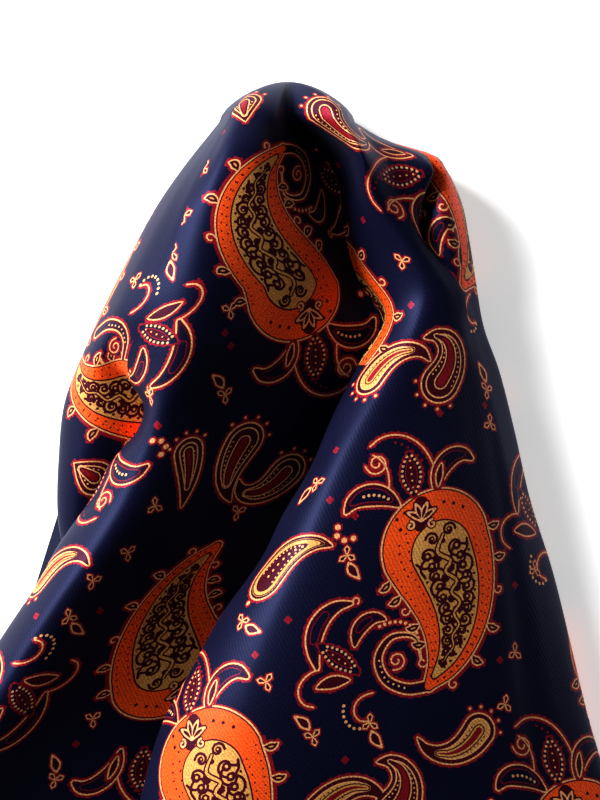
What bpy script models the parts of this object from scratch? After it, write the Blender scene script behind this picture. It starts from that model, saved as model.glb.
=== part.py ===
"""A silk pocket square, pinched at its middle and laid down flat as a puff.

The square is seen from above: its middle, the crown, is at +Y and its edges are gathered at -Y.
The outer cloth is one wall. Its rings run across the puff, over the folds and back along the flat
underside. Each fold is a named line with a few stations, and the rings are splines through them.
"""
import math

import bpy
import numpy as np

# Driving sizes, in millimetres
CLOTH_WALL = 1.0
PLY_GAP = 0.3
CROWN_START = 56.0
CROWN_TIP = 64.4
CROWN_CENTRE = (-2.5, 5.5)
CROWN_POWER = 1.6
FRAME_END = -80.0
HEM_END = -98.0
HEM_TILT_LEFT = 0.12
HEM_TILT_RIGHT = -0.20
FOOT_INSET = 4.0
HEM_BEND = 14.0
HEM_ROLL = 1.3
HEM_SIDES = 6
HEM_SPACING = 2.6

# The hidden layers: one rounded solid under the outer cloth, in steps at the hem
LAYER_CLEARANCE = 1.4
LAYER_INSET = 2.0
LAYER_COLUMNS = 30
LAYER_STATIONS = 20
LAYER_START = -84.0
LAYER_END = 46.0
LAYER_STEPS = 5
LAYER_STEP_DEPTH = 2.6

# Materials
CLOTH_COLOUR = (0.012, 0.015, 0.05)
HEM_COLOUR = (0.010, 0.012, 0.04)
CLOTH_ROUGHNESS = 0.4
HEM_ROUGHNESS = 0.45

# Stations along the puff, and points between two fold lines of a ring
BODY_STATIONS = 17
UPPER_START = 24.0
UPPER_STATIONS = 13
CROWN_STATIONS = 4
CROWN_TURN = math.radians(60)
POINTS_PER_FOLD = 3
UNDERSIDE_POINTS = 9

# Each fold line runs from the crown to the hem: y, x and height z of each of its stations
FOLD_LINES = {
    "left_edge": [
        (56, -16.2, 7), (48, -22.6, 8), (40, -28.2, 9), (28, -34.8, 9), (12, -42.6, 8.5),
        (0, -47.4, 8), (-12, -48.8, 7), (-24, -49.0, 6), (-32, -48.0, 5), (-44, -50.0, 4.5),
        (-60, -58.0, 4.5), (-80, -70.0, 4.5), (-98, -79.0, 4.5)],
    "lobe": [
        (56, -15.4, 14), (40, -26.0, 19), (28, -32.0, 20), (14, -38.5, 19.5), (5, -41.5, 17),
        (-2, -41.5, 15), (-12, -43.5, 13), (-24, -45.5, 10), (-32, -46.0, 8), (-44, -49.0, 7.5),
        (-60, -57.0, 7.5), (-80, -69.0, 7.2), (-98, -78.4, 6.6)],
    "lobe_tuck": [
        (56, -14.6, 18), (40, -23.5, 24), (28, -28.5, 25), (14, -35.0, 23), (7, -36.5, 18),
        (-2, -28.6, 12), (-10, -32.5, 11), (-20, -38.5, 10), (-32, -45.0, 9.5), (-44, -50.0, 9.5),
        (-60, -59.0, 9.5), (-80, -71.0, 9.2), (-98, -81.2, 8.4)],
    "ridge_nose": [
        (56, -13.8, 21), (40, -21.5, 27), (28, -25.5, 28), (14, -32.0, 25.5), (8, -34.2, 22),
        (4, -34.0, 19), (-1, -31.2, 17), (-6, -32.4, 16.5), (-11, -36.8, 16), (-20, -42.0, 15),
        (-29, -48.4, 14), (-36, -52.2, 13.5), (-48, -60.0, 13), (-80, -79.0, 11.5),
        (-98, -88.0, 10.2)],
    "ridge_crest": [
        (56, -12.0, 23.5), (50, -14.5, 27), (34, -18.5, 30), (14, -22.5, 30), (4, -26.0, 28.5),
        (-5, -28.6, 26), (-17, -33.2, 25), (-28, -39.5, 25), (-40, -48.0, 24.5), (-58, -59.5, 23.5),
        (-80, -72.0, 20.5), (-98, -80.0, 15)],
    "flank": [
        (56, -8.0, 23.5), (50, -9.0, 26.5), (34, -8.0, 26), (14, -9.0, 23.5), (0, -13.0, 21),
        (-18, -20.0, 19), (-40, -33.0, 17.5), (-60, -45.0, 16), (-80, -56.0, 14),
        (-98, -64.0, 10.5)],
    "flank_low": [
        (56, -5.0, 22), (50, -3.5, 20.5), (34, 2.0, 18), (14, 4.0, 14.5), (0, 1.0, 13),
        (-18, -8.0, 12), (-40, -21.0, 10.5), (-60, -31.0, 9.5), (-80, -39.0, 8.5),
        (-98, -45.0, 7)],
    "valley": [
        (56, -2.4, 20), (53.5, -0.5, 15.5), (50, 4.0, 11), (44.4, 7.6, 9), (38, 8.4, 8),
        (32, 9.4, 7.5), (24, 12.0, 7), (17, 16.5, 7), (8, 16.5, 6.5), (-3.4, 11.0, 6),
        (-14, 6.5, 6), (-23, 1.5, 6), (-36, -6.5, 5.5), (-49, -13.5, 5.5), (-63, -21.0, 5.5),
        (-80, -26.5, 5.5), (-98, -30.0, 5.5)],
    "fold_nose": [
        (56, 1.2, 20.5), (53.5, 3.8, 17), (50, 8.2, 15), (44.4, 10.4, 14), (38, 11.0, 13),
        (32, 12.0, 12.5), (24, 15.0, 12), (18, 17.5, 11.8), (8, 12.2, 13), (-3.4, 6.4, 15),
        (-14, 1.8, 16), (-23.2, -3.6, 17), (-31, -7.4, 17.5), (-43.6, -16.2, 18),
        (-53.2, -21.4, 18), (-63, -26.8, 17.5), (-80, -32.0, 15.5), (-98, -36.0, 12)],
    "fold_crest": [
        (56, 7.6, 22.5), (50, 11.4, 24), (43, 13.5, 22.5), (36, 17.0, 19.5), (29, 21.5, 18),
        (22, 24.5, 17.5), (14, 22.5, 19), (4, 17.0, 22.5), (-10, 8.6, 26), (-26, 1.4, 29),
        (-44.6, -6.6, 31), (-64, -13.0, 31), (-80, -15.6, 28.5), (-98, -19.0, 22)],
    "panel": [
        (56, 9.6, 18.5), (51, 14.6, 17.5), (47, 18.0, 18), (38, 20.5, 18), (29, 24.5, 17.3),
        (22, 28.5, 16.6), (14, 29.0, 17), (4, 28.0, 19), (-10, 26.0, 22.5), (-26, 23.0, 25.5),
        (-44, 20.0, 27), (-64, 18.0, 26.5), (-80, 18.0, 24), (-98, 19.0, 18.5)],
    "panel_edge": [
        (56, 10.3, 14), (52, 16.0, 13.8), (49.6, 23.0, 14), (47, 26.2, 15.5), (41.8, 25.2, 15.6),
        (38.4, 24.2, 15.4), (33, 24.2, 15.4), (28, 27.2, 15.4), (22, 30.8, 15), (14, 32.5, 14.8),
        (4, 34.0, 15.2), (-10, 36.0, 16.5), (-26, 38.0, 17.5), (-44, 40.0, 18), (-64, 42.0, 17.5),
        (-80, 44.0, 16), (-98, 48.0, 12.5)],
    "panel_tuck": [
        (56, 10.6, 11.5), (52, 17.4, 11.6), (49.6, 24.6, 12), (47, 26.2, 12.6), (41.8, 23.2, 10),
        (38.4, 22.6, 10.2), (34, 23.4, 12), (29, 27.6, 14), (22, 32.4, 13.6), (14, 34.0, 13),
        (4, 36.2, 13), (-10, 38.6, 13.8), (-26, 41.0, 14.5), (-44, 43.4, 14.8), (-64, 46.0, 14.2),
        (-80, 48.5, 13), (-98, 53.5, 10.5)],
    "right_lobe": [
        (56, 10.9, 9.3), (52, 18.3, 9.5), (49.6, 26.0, 10.5), (47, 28.3, 12.0), (41.8, 28.8, 13.6),
        (37, 28.8, 15), (30, 30.6, 14), (22, 33.6, 12), (14, 35.4, 11), (4, 38.2, 10.5),
        (-10, 41.2, 11), (-26, 44.5, 11.2), (-44, 48.2, 11), (-64, 52.2, 10.3), (-80, 56.0, 9.5),
        (-98, 63.5, 7.5)],
    "right_edge": [
        (56, 11.0, 7), (52, 18.4, 7), (49.6, 26.6, 7.5), (46.2, 29.6, 8), (40, 32.6, 8),
        (33, 34.1, 7.5), (25, 35.4, 7), (14, 37.4, 6.2), (7, 40.0, 5.6), (-6, 43.4, 5.3),
        (-20, 46.6, 5.2), (-34, 51.0, 5.2), (-50, 55.0, 5.2), (-64, 58.4, 5), (-80, 63.5, 5),
        (-98, 72.5, 4.8)],
}


def station_value(stations, y):
    """Read x and z of a fold line at y, along a smooth curve through its stations."""
    ys = np.array([-row[0] for row in stations], float)
    values = np.array([row[1:] for row in stations], float)
    steps = np.diff(ys)
    slopes = np.diff(values, axis=0) / steps[:, None]
    tangents = np.empty_like(values)
    tangents[0] = slopes[0]
    tangents[-1] = slopes[-1]
    weight = (steps[1:] / (steps[1:] + steps[:-1]))[:, None]
    tangents[1:-1] = weight * slopes[:-1] + (1 - weight) * slopes[1:]
    k = int(np.clip(np.searchsorted(ys, -y, side="right") - 1, 0, len(ys) - 2))
    h = steps[k]
    t = np.clip((-y - ys[k]) / h, 0, 1)
    h00 = 2 * t ** 3 - 3 * t ** 2 + 1
    h10 = t ** 3 - 2 * t ** 2 + t
    h01 = -2 * t ** 3 + 3 * t ** 2
    h11 = t ** 3 - t ** 2
    return (h00 * values[k] + h10 * h * tangents[k]
            + h01 * values[k + 1] + h11 * h * tangents[k + 1])


def spline_points(corners, per_span):
    """Sample a centripetal Catmull-Rom spline through corner points, both ends included."""
    first = 2 * corners[0] - corners[1]
    last = 2 * corners[-1] - corners[-2]
    knots = np.vstack([first, corners, last])
    gaps = np.maximum(np.linalg.norm(np.diff(knots, axis=0), axis=1), 1e-6) ** 0.5
    points = []
    for k in range(1, len(knots) - 2):
        p0, p1, p2, p3 = knots[k - 1:k + 3]
        d0, d1, d2 = gaps[k - 1:k + 2]
        out = d1 * ((p1 - p0) / d0 - (p2 - p0) / (d0 + d1) + (p2 - p1) / d1)
        back = d1 * ((p2 - p1) / d1 - (p3 - p1) / (d1 + d2) + (p3 - p2) / d2)
        for t in np.arange(per_span) / per_span:
            points.append((2 * t ** 3 - 3 * t ** 2 + 1) * p1 + (t ** 3 - 2 * t ** 2 + t) * out
                          + (-2 * t ** 3 + 3 * t ** 2) * p2 + (t ** 3 - t ** 2) * back)
    points.append(corners[-1])
    return np.array(points)


def section(y, per_fold):
    """Give the front cloth across the puff at y, as points (x, z) from left foot to right foot."""
    corners = np.array([station_value(rows, y) for rows in FOLD_LINES.values()])
    left_foot = (corners[0][0] + FOOT_INSET, 0.0)
    right_foot = (corners[-1][0] - FOOT_INSET, 0.0)
    corners = np.vstack([left_foot, corners, right_foot])
    points = spline_points(corners, per_fold)
    points[:, 1] = np.maximum(points[:, 1], 0.0)
    return points


def crown_shrink(y):
    """Give how much a ring has shrunk at y, as the crown rounds over to its tip."""
    reach = max(0.0, (y - CROWN_START) / (CROWN_TIP - CROWN_START))
    return max(0.0, 1 - reach ** CROWN_POWER) ** (1 / CROWN_POWER)


def ring(y, per_fold):
    """Close the section along the flat underside. Past the crown's start the ring domes over."""
    front = section(min(y, CROWN_START), per_fold)
    share = np.arange(1, UNDERSIDE_POINTS + 1)[:, None] / (UNDERSIDE_POINTS + 1)
    under = front[-1] + (front[0] - front[-1]) * share
    points = np.vstack([front, under])
    centre = np.array(CROWN_CENTRE)
    return centre + (points - centre) * crown_shrink(y)


def hem_y(x):
    """Give y of the cloth's edge: it bends over softly and slopes down to each side corner."""
    tilt = HEM_TILT_RIGHT if x > 0 else HEM_TILT_LEFT
    reach = math.hypot(x, HEM_BEND) - HEM_BEND
    return HEM_END - abs(tilt) * reach


def placed(y, points):
    """Turn a ring's (x, z) points into x, y, z. Below the view its y bends to follow the hem."""
    share = max(0.0, (FRAME_END - y) / (FRAME_END - HEM_END))
    rows = []
    for x, z in points:
        rows.append((x, y + share * (hem_y(x) - HEM_END), z))
    return np.array(rows)


def station_heights():
    """List the stations' y from hem to crown, closer together where the crown rounds over."""
    body = np.linspace(HEM_END, UPPER_START, BODY_STATIONS, endpoint=False)
    upper = np.linspace(UPPER_START, CROWN_START, UPPER_STATIONS)
    turn = np.linspace(0, CROWN_TURN, CROWN_STATIONS + 1)[1:]
    crown = CROWN_START + (CROWN_TIP - CROWN_START) * np.sin(turn)
    return np.concatenate([body, upper, crown])


def outer_grid(per_fold=POINTS_PER_FOLD):
    """Give the outer cloth as a grid of points: stations along it, ring points round it."""
    return np.array([placed(y, ring(y, per_fold)) for y in station_heights()])


def inward_grid(grid, depth):
    """Move the rings inward by depth, square to the surface. The crown's follow its dome."""
    along = np.gradient(grid, axis=0)
    round_it = np.roll(grid, -1, axis=1) - np.roll(grid, 1, axis=1)
    normals = np.cross(round_it, along)
    normals /= np.linalg.norm(normals, axis=2, keepdims=True)
    moved = grid - normals * depth
    first = len(grid) - CROWN_STATIONS
    centre = np.array(CROWN_CENTRE)
    for i in range(first, len(grid)):
        y = grid[i][0][1]
        share = (y - CROWN_START) / (CROWN_TIP - CROWN_START)
        moved[i][:, [0, 2]] = centre + (moved[first - 1][:, [0, 2]] - centre) * crown_shrink(y)
        moved[i][:, 1] = CROWN_START + (CROWN_TIP - depth - CROWN_START) * share
    return moved


def wall_mesh(outer, inner):
    """Join outer and inner rings into one closed wall, open at the hem and capped at the crown."""
    count, around = outer.shape[:2]
    size = count * around
    points = np.vstack([outer.reshape(-1, 3), inner.reshape(-1, 3)])
    tip_x, tip_z = CROWN_CENTRE
    outer_tip = (tip_x, CROWN_TIP, tip_z)
    inner_tip = (tip_x, CROWN_TIP - CLOTH_WALL, tip_z)
    points = np.vstack([points, outer_tip, inner_tip])
    faces = []
    for i in range(count - 1):
        for j in range(around):
            k = (j + 1) % around
            a, b = i * around + j, i * around + k
            c, d = b + around, a + around
            faces.append((a, b, c, d))
            faces.append((size + a, size + d, size + c, size + b))
    last = (count - 1) * around
    for j in range(around):
        k = (j + 1) % around
        faces.append((j, size + j, size + k, k))
        faces.append((last + j, last + k, 2 * size))
        faces.append((size + last + k, size + last + j, 2 * size + 1))
    return points, faces


def lowest_z(points, x):
    """Give the lowest z at x of an open line of (x, z) points."""
    a, b = points[:-1], points[1:]
    span = b[:, 0] - a[:, 0]
    crosses = (np.minimum(a[:, 0], b[:, 0]) <= x) & (x <= np.maximum(a[:, 0], b[:, 0]))
    crosses &= np.abs(span) > 1e-9
    share = (x - a[crosses, 0]) / span[crosses]
    return float(np.min(a[crosses, 1] + share * (b[crosses, 1] - a[crosses, 1])))


def layer_heights(inner):
    """Work out the hidden layers' top, as far under the outer cloth as their clearance."""
    around_front = len(section(0, POINTS_PER_FOLD))
    stations = station_heights()
    ys = np.linspace(LAYER_START, LAYER_END, LAYER_STATIONS)
    floor = CLOTH_WALL + PLY_GAP
    rows = []
    for y in ys:
        k = int(np.searchsorted(stations, y))
        nearby = range(max(k - 2, 0), k + 2)
        near = [inner[i][:around_front][:, [0, 2]] for i in nearby]
        left = max(line[0][0] for line in near) + LAYER_INSET
        right = min(line[-1][0] for line in near) - LAYER_INSET
        xs = np.linspace(left, right, LAYER_COLUMNS)
        tops = np.array([min(lowest_z(line, x) for line in near) for x in xs])
        spread = np.minimum(np.roll(tops, 1), np.roll(tops, -1))
        tops[1:-1] = np.minimum(tops, spread)[1:-1]
        tops = np.maximum(tops - LAYER_CLEARANCE, floor + PLY_GAP)
        tops[[0, -1]] = floor + PLY_GAP
        rows.append((y, xs, tops))
    return rows


def layer_rings(inner):
    """Give the hidden layers as rings: along the top, then back along their flat underside."""
    floor = CLOTH_WALL + PLY_GAP
    rows = layer_heights(inner)
    rings = []
    y, xs, tops = rows[0]
    for step in range(LAYER_STEPS):
        share = (step + 1) / (LAYER_STEPS + 1)
        nested = floor + share * (tops - floor)
        reach = y - LAYER_STEP_DEPTH * (LAYER_STEPS - step)
        for edge in (reach, reach + LAYER_STEP_DEPTH - PLY_GAP):
            rings.append(layer_ring(edge, xs, nested, floor))
    for y, xs, tops in rows:
        rings.append(layer_ring(y, xs, tops, floor))
    return rings


def layer_ring(y, xs, tops, floor):
    """Give one ring of the hidden layers at y."""
    ends = [(xs[-1], y, floor), (xs[0], y, floor)]
    return np.array([(x, y, z) for x, z in zip(xs, tops)] + ends)


def capped_mesh(rings):
    """Join rings of equal length into one closed solid, with a flat cap at each end."""
    around = len(rings[0])
    points = np.vstack(rings)
    faces = [tuple(reversed(range(around)))]
    for i in range(len(rings) - 1):
        for j in range(around):
            k = (j + 1) % around
            a, b = i * around + j, i * around + k
            faces.append((a, b, b + around, a + around))
    last = (len(rings) - 1) * around
    faces.append(tuple(last + j for j in range(around)))
    return points, faces


def even_loop(points, spacing):
    """Space a closed line's points evenly."""
    closed = np.vstack([points, points[:1]])
    length = np.concatenate([[0], np.cumsum(np.linalg.norm(np.diff(closed, axis=0), axis=1))])
    count = int(round(length[-1] / spacing))
    marks = np.arange(count) * length[-1] / count
    return np.stack([np.interp(marks, length, closed[:, c]) for c in range(3)], axis=1)


def hem_mesh(outer, inner):
    """Make the rolled hem as a closed ring of round section, just beyond the wall's edge."""
    middle = (outer[0] + inner[0]) / 2
    middle[:, 2] = np.maximum(middle[:, 2], HEM_ROLL)
    middle[:, 1] -= HEM_ROLL + PLY_GAP
    path = even_loop(middle, HEM_SPACING)
    tangents = np.roll(path, -1, axis=0) - np.roll(path, 1, axis=0)
    tangents /= np.linalg.norm(tangents, axis=1, keepdims=True)
    outward = np.array((0.0, -1.0, 0.0))
    across = np.cross(tangents, outward)
    across /= np.linalg.norm(across, axis=1, keepdims=True)
    upward = np.cross(across, tangents)
    points = []
    for centre, side, up in zip(path, across, upward):
        for k in range(HEM_SIDES):
            turn = 2 * math.pi * (k + 0.5) / HEM_SIDES
            points.append(centre + HEM_ROLL * (math.cos(turn) * side + math.sin(turn) * up))
    count = len(path)
    faces = []
    for i in range(count):
        for k in range(HEM_SIDES):
            a, b = i * HEM_SIDES + k, i * HEM_SIDES + (k + 1) % HEM_SIDES
            c, d = (b + HEM_SIDES) % (count * HEM_SIDES), (a + HEM_SIDES) % (count * HEM_SIDES)
            faces.append((a, d, c, b))
    return np.array(points), faces


def silk(name, colour, roughness):
    """Make a satin cloth material."""
    material = bpy.data.materials.new(name)
    material.use_nodes = True
    shader = material.node_tree.nodes["Principled BSDF"]
    shader.inputs["Base Color"].default_value = (*colour, 1)
    shader.inputs["Roughness"].default_value = roughness
    shader.inputs["Metallic"].default_value = 0.0
    return material


def add_piece(name, points, faces, material, centre):
    """Add one solid, in metres, about the part's centre line."""
    mesh = bpy.data.meshes.new(name)
    mesh.from_pydata(((points - centre) / 1000).tolist(), [], faces)
    mesh.materials.append(material)
    mesh.shade_smooth()
    piece = bpy.data.objects.new(name, mesh)
    bpy.context.collection.objects.link(piece)
    return piece


def main():
    """Build the pocket square's solids."""
    for item in list(bpy.data.objects):
        bpy.data.objects.remove(item)
    outer = outer_grid()
    inner = inward_grid(outer, CLOTH_WALL)
    under = UNDERSIDE_POINTS
    inner[:BODY_STATIONS + UPPER_STATIONS, -under:, 2] = CLOTH_WALL
    wall, wall_faces = wall_mesh(outer, inner)
    hem, hem_faces = hem_mesh(outer, inner)
    layers, layer_faces = capped_mesh(layer_rings(inner))
    everything = np.vstack([wall, hem, layers])
    low, high = everything.min(axis=0), everything.max(axis=0)
    centre = np.array(((low[0] + high[0]) / 2, (low[1] + high[1]) / 2, low[2]))
    printed = silk("printed_silk", CLOTH_COLOUR, CLOTH_ROUGHNESS)
    edge = silk("hem_silk", HEM_COLOUR, HEM_ROUGHNESS)
    add_piece("outer_cloth", wall, wall_faces, printed, centre)
    add_piece("rolled_hem", hem, hem_faces, edge, centre)
    add_piece("folded_layers", layers, layer_faces, printed, centre)


main()
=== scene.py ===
import math

import bpy
import numpy as np
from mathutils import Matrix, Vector
from mathutils.bvhtree import BVHTree
from mathutils.geometry import delaunay_2d_cdt


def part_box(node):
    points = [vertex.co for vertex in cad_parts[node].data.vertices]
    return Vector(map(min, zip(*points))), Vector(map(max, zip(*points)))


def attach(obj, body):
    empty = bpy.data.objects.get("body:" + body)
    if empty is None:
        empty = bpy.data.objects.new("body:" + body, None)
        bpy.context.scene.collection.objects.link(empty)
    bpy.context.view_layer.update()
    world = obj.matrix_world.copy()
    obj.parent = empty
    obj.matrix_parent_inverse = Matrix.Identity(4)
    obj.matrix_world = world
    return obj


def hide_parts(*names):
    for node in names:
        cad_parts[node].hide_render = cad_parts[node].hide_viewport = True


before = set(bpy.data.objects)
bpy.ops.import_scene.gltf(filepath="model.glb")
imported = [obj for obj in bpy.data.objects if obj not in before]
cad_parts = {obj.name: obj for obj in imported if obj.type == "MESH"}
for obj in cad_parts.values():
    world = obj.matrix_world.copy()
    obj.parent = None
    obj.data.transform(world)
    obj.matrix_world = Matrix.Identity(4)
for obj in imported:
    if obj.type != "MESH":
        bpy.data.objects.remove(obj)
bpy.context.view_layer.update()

# Sizes in millimetres. x runs to the right, y towards the crown and z up to the viewer
MM = 0.001
CROWN_START = 56.0
CROWN_TIP = 64.4
CROWN_CENTRE = (-2.5, 5.5)
CROWN_POWER = 1.6
CROWN_ROWS = 10
CROWN_TURN = math.radians(88)
FRAME_END = -80.0
HEM_END = -98.0
HEM_TILT_LEFT = 0.12
HEM_TILT_RIGHT = -0.20
HEM_BEND = 14.0
FOOT_INSET = 4.0
ROW_STEP = 1.5
UPPER_ROW_STEP = 1.0
UPPER_START = 20.0
COLUMN_STEP = 1.7
LEFTMOST = -88.0
HEM_RADIUS = 1.0
FLOOR_DROP = 0.3

# The camera looks straight down. VIEW_LEVEL above the surface, it shows VIEW_LENGTH from top to
# bottom of the picture
CAMERA_HEIGHT = 800.0
VIEW_LEVEL = 15.0
VIEW_LENGTH = 160.0
SENSOR = 36.0

# Each fold line runs from the crown to the hem: y, x and height z of each of its stations
FOLD_LINES = {
    "left_edge": [
        (56, -16.2, 7), (48, -22.6, 8), (40, -28.2, 9), (28, -34.8, 9), (12, -42.6, 8.5),
        (0, -47.4, 8), (-12, -48.8, 7), (-24, -49.0, 6), (-32, -48.0, 5), (-44, -50.0, 4.5),
        (-60, -58.0, 4.5), (-80, -70.0, 4.5), (-98, -79.0, 4.5)],
    "lobe": [
        (56, -15.4, 14), (40, -26.0, 19), (28, -32.0, 20), (14, -38.5, 19.5), (5, -41.5, 17),
        (-2, -41.5, 15), (-12, -43.5, 13), (-24, -45.5, 10), (-32, -46.0, 8), (-44, -49.0, 7.5),
        (-60, -57.0, 7.5), (-80, -69.0, 7.2), (-98, -78.4, 6.6)],
    "lobe_tuck": [
        (56, -14.6, 18), (40, -23.5, 24), (28, -28.5, 25), (14, -35.0, 23), (7, -36.5, 18),
        (-2, -28.6, 12), (-10, -32.5, 11), (-20, -38.5, 10), (-32, -45.0, 9.5), (-44, -50.0, 9.5),
        (-60, -59.0, 9.5), (-80, -71.0, 9.2), (-98, -81.2, 8.4)],
    "ridge_nose": [
        (56, -13.8, 21), (40, -21.5, 27), (28, -25.5, 28), (14, -32.0, 25.5), (8, -34.2, 22),
        (4, -34.0, 19), (-1, -31.2, 17), (-6, -32.4, 16.5), (-11, -36.8, 16), (-20, -42.0, 15),
        (-29, -48.4, 14), (-36, -52.2, 13.5), (-48, -60.0, 13), (-80, -79.0, 11.5),
        (-98, -88.0, 10.2)],
    "ridge_crest": [
        (56, -12.0, 23.5), (50, -14.5, 27), (34, -18.5, 30), (14, -22.5, 30), (4, -26.0, 28.5),
        (-5, -28.6, 26), (-17, -33.2, 25), (-28, -39.5, 25), (-40, -48.0, 24.5), (-58, -59.5, 23.5),
        (-80, -72.0, 20.5), (-98, -80.0, 15)],
    "flank": [
        (56, -8.0, 23.5), (50, -9.0, 26.5), (34, -8.0, 26), (14, -9.0, 23.5), (0, -13.0, 21),
        (-18, -20.0, 19), (-40, -33.0, 17.5), (-60, -45.0, 16), (-80, -56.0, 14),
        (-98, -64.0, 10.5)],
    "flank_low": [
        (56, -5.0, 22), (50, -3.5, 20.5), (34, 2.0, 18), (14, 4.0, 14.5), (0, 1.0, 13),
        (-18, -8.0, 12), (-40, -21.0, 10.5), (-60, -31.0, 9.5), (-80, -39.0, 8.5),
        (-98, -45.0, 7)],
    "valley": [
        (56, -1.6, 15.5), (53.5, 0.2, 11.5), (50, 4.0, 8.5), (44.4, 7.6, 7.5), (38, 8.4, 7),
        (32, 9.4, 7.5), (24, 12.0, 7), (17, 16.5, 7), (8, 16.5, 6.5), (-3.4, 11.0, 6),
        (-14, 6.5, 6), (-23, 1.5, 6), (-36, -6.5, 5.5), (-49, -13.5, 5.5), (-63, -21.0, 5.5),
        (-80, -26.5, 5.5), (-98, -30.0, 5.5)],
    "fold_nose": [
        (56, 2.2, 18.5), (53.5, 4.4, 16), (50, 8.2, 14.5), (44.4, 10.4, 14), (38, 11.0, 13),
        (32, 12.0, 12.5), (24, 15.0, 12), (18, 17.5, 11.8), (8, 12.2, 13), (-3.4, 6.4, 15),
        (-14, 1.8, 16), (-23.2, -3.6, 17), (-31, -7.4, 17.5), (-43.6, -16.2, 18),
        (-53.2, -21.4, 18), (-63, -26.8, 17.5), (-80, -32.0, 15.5), (-98, -36.0, 12)],
    "fold_crest": [
        (56, 7.6, 22.5), (50, 11.4, 24), (43, 13.5, 22.5), (36, 17.0, 19.5), (29, 21.5, 18),
        (22, 24.5, 17.5), (14, 22.5, 19), (4, 17.0, 22.5), (-10, 8.6, 26), (-26, 1.4, 29),
        (-44.6, -6.6, 31), (-64, -13.0, 31), (-80, -15.6, 28.5), (-98, -19.0, 22)],
    "panel": [
        (56, 9.6, 18.5), (51, 14.6, 17.5), (47, 18.0, 18), (38, 20.5, 18), (29, 24.5, 17.3),
        (22, 28.5, 16.6), (14, 29.0, 17), (4, 28.0, 19), (-10, 26.0, 22.5), (-26, 23.0, 25.5),
        (-44, 20.0, 27), (-64, 18.0, 26.5), (-80, 18.0, 24), (-98, 19.0, 18.5)],
    "panel_edge": [
        (56, 10.3, 14), (52, 16.0, 13.8), (49.6, 23.0, 14), (47, 26.2, 15.5), (41.8, 25.2, 15.6),
        (38.4, 24.2, 15.4), (33, 24.2, 15.4), (28, 27.2, 15.4), (22, 30.8, 15), (14, 32.5, 14.8),
        (4, 34.0, 15.2), (-10, 36.0, 16.5), (-26, 38.0, 17.5), (-44, 40.0, 18), (-64, 42.0, 17.5),
        (-80, 44.0, 16), (-98, 48.0, 12.5)],
    "panel_tuck": [
        (56, 10.6, 11.5), (52, 17.4, 11.6), (49.6, 24.6, 12), (47, 26.2, 12.6), (41.8, 23.2, 10),
        (38.4, 22.6, 10.2), (34, 23.4, 12), (29, 27.6, 14), (22, 32.4, 13.6), (14, 34.0, 13),
        (4, 36.2, 13.4), (-10, 38.6, 14.3), (-26, 41.0, 15.1), (-44, 43.4, 15.4), (-64, 46.0, 14.8),
        (-80, 48.5, 13.6), (-98, 53.5, 10.9)],
    "right_lobe": [
        (56, 10.9, 9.3), (52, 18.3, 9.5), (49.6, 26.0, 10.5), (47, 28.3, 12.0), (41.8, 28.8, 13.6),
        (37, 28.8, 15), (30, 30.6, 14), (22, 33.6, 12), (14, 35.4, 11), (4, 38.2, 11.1),
        (-10, 41.2, 11.9), (-26, 44.5, 12.2), (-44, 48.2, 12.1), (-64, 52.2, 11.4), (-80, 56.0, 10.5),
        (-98, 63.5, 8.2)],
    "right_edge": [
        (56, 11.0, 7), (52, 18.4, 7), (49.6, 26.6, 7.5), (46.2, 29.6, 8), (40, 32.6, 8),
        (33, 34.1, 7.5), (25, 35.4, 7), (14, 37.4, 6.2), (7, 40.0, 5.6), (-6, 43.4, 5.3),
        (-20, 46.6, 5.2), (-34, 51.0, 5.2), (-50, 55.0, 5.2), (-64, 58.4, 5), (-80, 63.5, 5),
        (-98, 72.5, 4.8)],
}
LINES = list(FOLD_LINES)

# The inks, as linear colours
NAVY, RED, BURGUNDY, CREAM, ORANGE, TAN = range(6)
INKS = [
    (0.0048, 0.0048, 0.0190),
    (0.22, 0.007, 0.011),
    (0.050, 0.0026, 0.006),
    (0.78, 0.36, 0.148),
    (0.86, 0.092, 0.010),
    (0.62, 0.30, 0.080),
]

# The line work: half a line's width, its red edge, the edge's bumps and the step between points
LINE = 0.17
HALO = 0.40
RUFFLE = 0.26
POINT_STEP = 0.75
LEAST_RADIUS = 0.06

# A drawing is a list of level, ink and outline. A higher level is printed over a lower one


def cubic(t, start, out, stop, back, span=1.0):
    """Run a cubic from start to stop, with the slopes out and back over a span."""
    return ((2 * t ** 3 - 3 * t ** 2 + 1) * start + (t ** 3 - 2 * t ** 2 + t) * span * out
            + (3 * t ** 2 - 2 * t ** 3) * stop + (t ** 3 - t ** 2) * span * back)


def curve(rows, step=POINT_STEP):
    """Run a smooth curve through rows of numbers, sampled about every step along x and y."""
    rows = np.array(rows, float)
    knots = np.vstack([2 * rows[0] - rows[1], rows, 2 * rows[-1] - rows[-2]])
    pieces = []
    for p0, p1, p2, p3 in zip(knots[:-3], knots[1:-2], knots[2:-1], knots[3:]):
        count = max(1, round(np.linalg.norm((p2 - p1)[:2]) / step))
        t = np.arange(count)[:, None] / count
        pieces.append(cubic(t, p1, (p2 - p0) / 2, p2, (p3 - p1) / 2))
    return np.vstack(pieces + [rows[-1:]])


def arc(centre, radius, start, stop):
    """Give points of an arc, its ends left out."""
    count = max(2, round(abs(stop - start) * radius / POINT_STEP))
    angles = start + (stop - start) * np.arange(1, count) / count
    return np.stack([centre[0] + radius * np.cos(angles), centre[1] + radius * np.sin(angles)], 1)


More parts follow.
